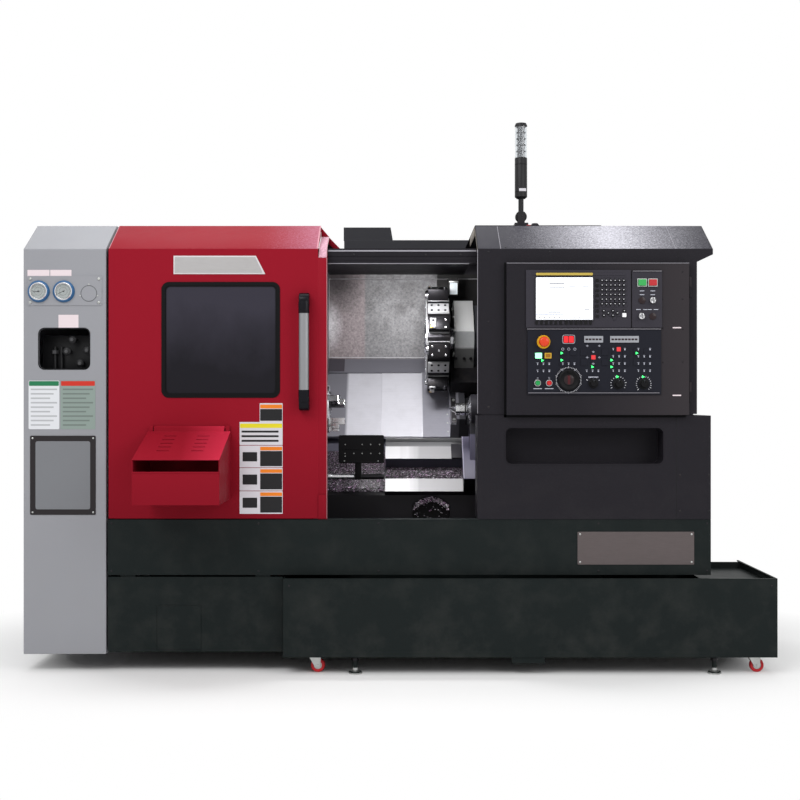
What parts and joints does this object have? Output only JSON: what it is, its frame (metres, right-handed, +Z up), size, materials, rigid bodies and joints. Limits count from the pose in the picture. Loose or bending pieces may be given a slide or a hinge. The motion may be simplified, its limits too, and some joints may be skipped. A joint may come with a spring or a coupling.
{
  "type": "cnc turning lathe",
  "caption": "Slant-bed turning centre in folded steel covers, with a sliding door, chuck, tool turret, tailstock and a hinged operator panel.",
  "frame": {"origin": "on the floor under the middle of the machine's outline", "axes": "+X to the operator's right along the spindle, +Y to the back, +Z up"},
  "size_m": [3, 1.74, 2.249],
  "materials": {
    "grey_paint": "semi-gloss light cool grey",
    "crimson_paint": "textured semi-gloss crimson",
    "charcoal_paint": "textured semi-gloss charcoal",
    "green_black_paint": "textured semi-gloss green-black",
    "bed_casting": "painted iron casting with ground ways",
    "housing_casting": "painted iron casting",
    "stainless": "speckled stainless sheet",
    "cover_steel": "satin lavender-grey sheet",
    "ground_steel": "ground and polished",
    "black_steel": "black oxide",
    "chuck_steel": "turned steel",
    "zinc_plate": "zinc plated",
    "silver_grip": "satin anodised",
    "tinted_glass": "laminated pane in a black rubber frame",
    "black_plastic": "fine-textured black",
    "key_plastic": "moulded keys on a dark plate",
    "red_plastic": "gloss red",
    "green_plastic": "gloss green",
    "red_tread": "red polyurethane tread",
    "clear_lens": "clear ribbed lens over a dark body",
    "cabinet_paint": "semi-gloss grey"
  },
  "bodies": {
    "frame": {"slant_bed": "bed_casting", "levelling_feet": "black_steel", "front_tray": "green_black_paint", "kick_panel": "green_black_paint", "left_end_cover": "grey_paint", "gauge_panel": "grey_paint", "headstock": "housing_casting", "spindle_motor": "housing_casting", "headstock_guard": "stainless", "splash_back": "stainless", "roof_cover": "charcoal_paint", "door_rail": "charcoal_paint", "right_cover": "charcoal_paint", "right_lower_cover": "charcoal_paint", "electrical_cabinet": "cabinet_paint", "z_feed_motor": "black_steel", "tower_bracket": "black_steel"},
    "door": {"sliding_door": "crimson_paint", "door_window": "tinted_glass", "door_handle": "silver_grip", "parts_box": "crimson_paint"},
    "box_lid": {"parts_box_lid": "crimson_paint"},
    "panel": {"operator_panel": "charcoal_paint", "display_unit": "black_plastic", "key_pad": "key_plastic", "control_face": "black_plastic"},
    "stop_button_body": {"emergency_stop": "red_plastic"},
    "start_button_body": {"start_button": "green_plastic"},
    "hold_button_body": {"hold_button": "red_plastic"},
    "power_on_body": {"power_on_button": "green_plastic"},
    "power_off_body": {"power_off_button": "red_plastic"},
    "handwheel_body": {"handwheel": "black_plastic"},
    "mode_knob_body": {"mode_knob": "black_plastic"},
    "spindle_knob_body": {"spindle_knob": "black_plastic"},
    "feed_knob_body": {"feed_knob": "black_plastic"},
    "upper_key_body": {"upper_key": "zinc_plate"},
    "lower_key_body": {"lower_key": "zinc_plate"},
    "spindle_body": {"spindle": "chuck_steel", "chuck_body": "chuck_steel"},
    "jaw_1": {"chuck_jaw_1": "ground_steel"},
    "jaw_2": {"chuck_jaw_2": "ground_steel"},
    "jaw_3": {"chuck_jaw_3": "ground_steel"},
    "carriage": {"saddle": "housing_casting"},
    "cross_slide_body": {"cross_slide": "housing_casting", "turret_housing": "housing_casting"},
    "turret": {"turret_disc": "ground_steel", "tool_holders": "black_steel"},
    "tailstock_body": {"tailstock": "housing_casting"},
    "quill_body": {"quill": "ground_steel"},
    "centre_body": {"live_centre": "ground_steel"},
    "tower": {"signal_tower": "clear_lens"},
    "tank": {"coolant_tank": "green_black_paint"},
    "fork_left": {"castor_fork_left": "zinc_plate"},
    "fork_right": {"castor_fork_right": "zinc_plate"},
    "wheel_left": {"castor_wheel_left": "red_tread"},
    "wheel_right": {"castor_wheel_right": "red_tread"},
    "way_cover_body": {"way_cover": "cover_steel"},
    "screw": {"z_ball_screw": "ground_steel"},
    "cabinet_door_body": {"cabinet_door": "cabinet_paint"},
    "catcher": {"parts_catcher": "black_steel"}
  },
  "joints": [
    {"name": "door_slide", "type": "slide", "parent": "frame", "child": "door", "axis": [1, 0, 0], "range_m": [0, 0.596]},
    {"name": "lid_hinge", "type": "hinge", "parent": "door", "child": "box_lid", "pos_m": [-0.834, -0.553, 0.978], "axis": [-1, 0, 0], "range_deg": [0, 95]},
    {"name": "panel_hinge", "type": "hinge", "parent": "frame", "child": "panel", "pos_m": [1.164, -0.551, 1.33], "axis": [0, 0, 1], "range_deg": [0, 75]},
    {"name": "stop_press", "type": "slide", "parent": "panel", "child": "stop_button_body", "axis": [0, 1, 0], "range_m": [0, 0.003], "stiffness_N_per_m": 400},
    {"name": "start_press", "type": "slide", "parent": "panel", "child": "start_button_body", "axis": [0, 1, 0], "range_m": [0, 0.003], "stiffness_N_per_m": 400},
    {"name": "hold_press", "type": "slide", "parent": "panel", "child": "hold_button_body", "axis": [0, 1, 0], "range_m": [0, 0.003], "stiffness_N_per_m": 400},
    {"name": "power_on_press", "type": "slide", "parent": "panel", "child": "power_on_body", "axis": [0, 1, 0], "range_m": [0, 0.003], "stiffness_N_per_m": 400},
    {"name": "power_off_press", "type": "slide", "parent": "panel", "child": "power_off_body", "axis": [0, 1, 0], "range_m": [0, 0.003], "stiffness_N_per_m": 400},
    {"name": "handwheel_turn", "type": "hinge", "parent": "panel", "child": "handwheel_body", "pos_m": [0.6751, -0.579, 1.1675], "axis": [0, -1, 0], "continuous": true},
    {"name": "mode_knob_turn", "type": "hinge", "parent": "panel", "child": "mode_knob_body", "pos_m": [0.7729, -0.579, 1.1532], "axis": [0, 1, 0], "range_deg": [-105, 105]},
    {"name": "spindle_knob_turn", "type": "hinge", "parent": "panel", "child": "spindle_knob_body", "pos_m": [0.8722, -0.579, 1.1516], "axis": [0, 1, 0], "range_deg": [-105, 105]},
    {"name": "feed_knob_turn", "type": "hinge", "parent": "panel", "child": "feed_knob_body", "pos_m": [0.9731, -0.579, 1.1516], "axis": [0, 1, 0], "range_deg": [-135, 135]},
    {"name": "upper_key_turn", "type": "hinge", "parent": "panel", "child": "upper_key_body", "pos_m": [1.0093, -0.579, 1.4834], "axis": [0, 1, 0], "range_deg": [0, 90]},
    {"name": "lower_key_turn", "type": "hinge", "parent": "panel", "child": "lower_key_body", "pos_m": [0.9652, -0.579, 1.4202], "axis": [0, 1, 0], "range_deg": [0, 90]},
    {"name": "spindle_turn", "type": "hinge", "parent": "frame", "child": "spindle_body", "pos_m": [-0.4, -0.043, 1.048], "axis": [1, 0, 0], "continuous": true},
    {"name": "jaw_1_slide", "type": "slide", "parent": "spindle_body", "child": "jaw_1", "axis": [0, 0, 1], "range_m": [0, 0.004]},
    {"name": "jaw_2_slide", "type": "slide", "parent": "spindle_body", "child": "jaw_2", "axis": [0, -0.866, -0.5], "range_m": [0, 0.004]},
    {"name": "jaw_3_slide", "type": "slide", "parent": "spindle_body", "child": "jaw_3", "axis": [0, 0.866, -0.5], "range_m": [0, 0.004]},
    {"name": "z_slide", "type": "slide", "parent": "frame", "child": "carriage", "axis": [1, 0, 0], "range_m": [-0.29, 0]},
    {"name": "x_slide", "type": "slide", "parent": "carriage", "child": "cross_slide_body", "axis": [0, 0.7071, 0.7071], "range_m": [-0.19, 0]},
    {"name": "turret_turn", "type": "hinge", "parent": "cross_slide_body", "child": "turret", "pos_m": [0.18, 0.25893, 1.36973], "axis": [1, 0, 0], "continuous": true},
    {"name": "tailstock_slide", "type": "slide", "parent": "frame", "child": "tailstock_body", "axis": [1, 0, 0], "range_m": [-0.05, 0.25]},
    {"name": "quill_slide", "type": "slide", "parent": "tailstock_body", "child": "quill_body", "axis": [1, 0, 0], "range_m": [-0.08, 0]},
    {"name": "centre_turn", "type": "hinge", "parent": "quill_body", "child": "centre_body", "pos_m": [0.27, -0.043, 1.048], "axis": [1, 0, 0], "continuous": true},
    {"name": "tower_fold", "type": "hinge", "parent": "frame", "child": "tower", "pos_m": [0.514, -0.293, 1.857], "axis": [0, 1, 0], "range_deg": [0, 90]},
    {"name": "tank_pull", "type": "slide", "parent": "frame", "child": "tank", "axis": [0, -1, 0], "range_m": [0, 0.6]},
    {"name": "castor_swivel_left", "type": "hinge", "parent": "tank", "child": "fork_left", "pos_m": [-0.3425, -0.536, 0.069], "axis": [0, 0, 1], "continuous": true},
    {"name": "castor_roll_left", "type": "hinge", "parent": "fork_left", "child": "wheel_left", "pos_m": [-0.3225, -0.536, 0.028], "axis": [0, 1, 0], "continuous": true},
    {"name": "castor_swivel_right", "type": "hinge", "parent": "tank", "child": "fork_right", "pos_m": [1.413, -0.536, 0.069], "axis": [0, 0, 1], "continuous": true},
    {"name": "castor_roll_right", "type": "hinge", "parent": "fork_right", "child": "wheel_right", "pos_m": [1.433, -0.536, 0.028], "axis": [0, 1, 0], "continuous": true},
    {"name": "way_cover_slide", "type": "slide", "parent": "frame", "child": "way_cover_body", "axis": [1, 0, 0], "range_m": [-0.1885, 0]},
    {"name": "screw_turn", "type": "hinge", "parent": "frame", "child": "screw", "pos_m": [0.3, 0.38126, 1.048], "axis": [1, 0, 0], "range_deg": [-10450, 10]},
    {"name": "cabinet_door_hinge", "type": "hinge", "parent": "frame", "child": "cabinet_door_body", "pos_m": [1.206, 0.86, 0.975], "axis": [0, 0, -1], "range_deg": [0, 110]},
    {"name": "catcher_swing", "type": "hinge", "parent": "frame", "child": "catcher", "pos_m": [-0.2, -0.06, 0.752], "axis": [1, 0, 0], "range_deg": [0, 35]}
  ],
  "couplings": [
    {"joint": "jaw_2_slide", "follows": "jaw_1_slide", "ratio": 1},
    {"joint": "jaw_3_slide", "follows": "jaw_1_slide", "ratio": 1},
    {"joint": "way_cover_slide", "follows": "z_slide", "ratio": 0.65},
    {"joint": "screw_turn", "follows": "z_slide", "rad_per_m": 628.32}
  ]
}
